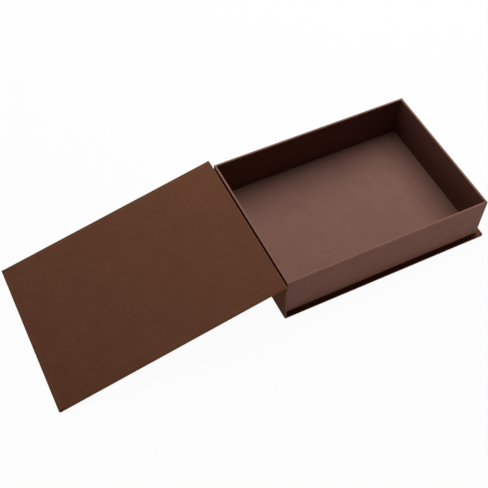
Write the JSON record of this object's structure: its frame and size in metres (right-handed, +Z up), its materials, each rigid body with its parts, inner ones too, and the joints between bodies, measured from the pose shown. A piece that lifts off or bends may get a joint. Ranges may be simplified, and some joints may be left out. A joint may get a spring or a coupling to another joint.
{
  "type": "book-style gift box",
  "caption": "Shallow paper-wrapped board tray on an overhanging book-style case whose lid folds right back at one short end.",
  "frame": {"origin": "on the table plane, under the middle of the tray", "axes": "+X from the hinge end to the free end of the tray, +Y from front to back, +Z up"},
  "size_m": [0.4501, 0.166, 0.0549],
  "materials": {
    "grey_board": "matt grey board",
    "cover_paper": "matt dark brown uncoated paper",
    "lining_paper": "matt brown uncoated paper",
    "tray_paper": "satin rose-brown paper",
    "gummed_tape": "kraft"
  },
  "bodies": {
    "case": {"base_board": "grey_board", "base_cover": "cover_paper", "spine_board": "grey_board", "spine_cover": "cover_paper", "spine_lining": "lining_paper", "tray_floor_board": "grey_board", "tray_wall_hinge_end": "grey_board", "tray_wall_free_end": "grey_board", "tray_wall_front": "grey_board", "tray_wall_back": "grey_board", "corner_tape_front_hinge": "gummed_tape", "corner_tape_front_free": "gummed_tape", "corner_tape_back_free": "gummed_tape", "corner_tape_back_hinge": "gummed_tape", "tray_wrap": "tray_paper", "tray_floor_liner": "tray_paper", "hinge_cover": "cover_paper", "hinge_lining": "lining_paper"},
    "lid": {"lid_board": "grey_board", "lid_cover": "cover_paper", "lid_liner": "lining_paper"}
  },
  "joints": [
    {"name": "lid_hinge", "type": "hinge", "parent": "case", "child": "lid", "pos_m": [-0.113, 0, 0.05325], "axis": [0, 1, 0], "range_deg": [0, 193.52], "deforming": ["hinge_cover", "hinge_lining"]}
  ]
}
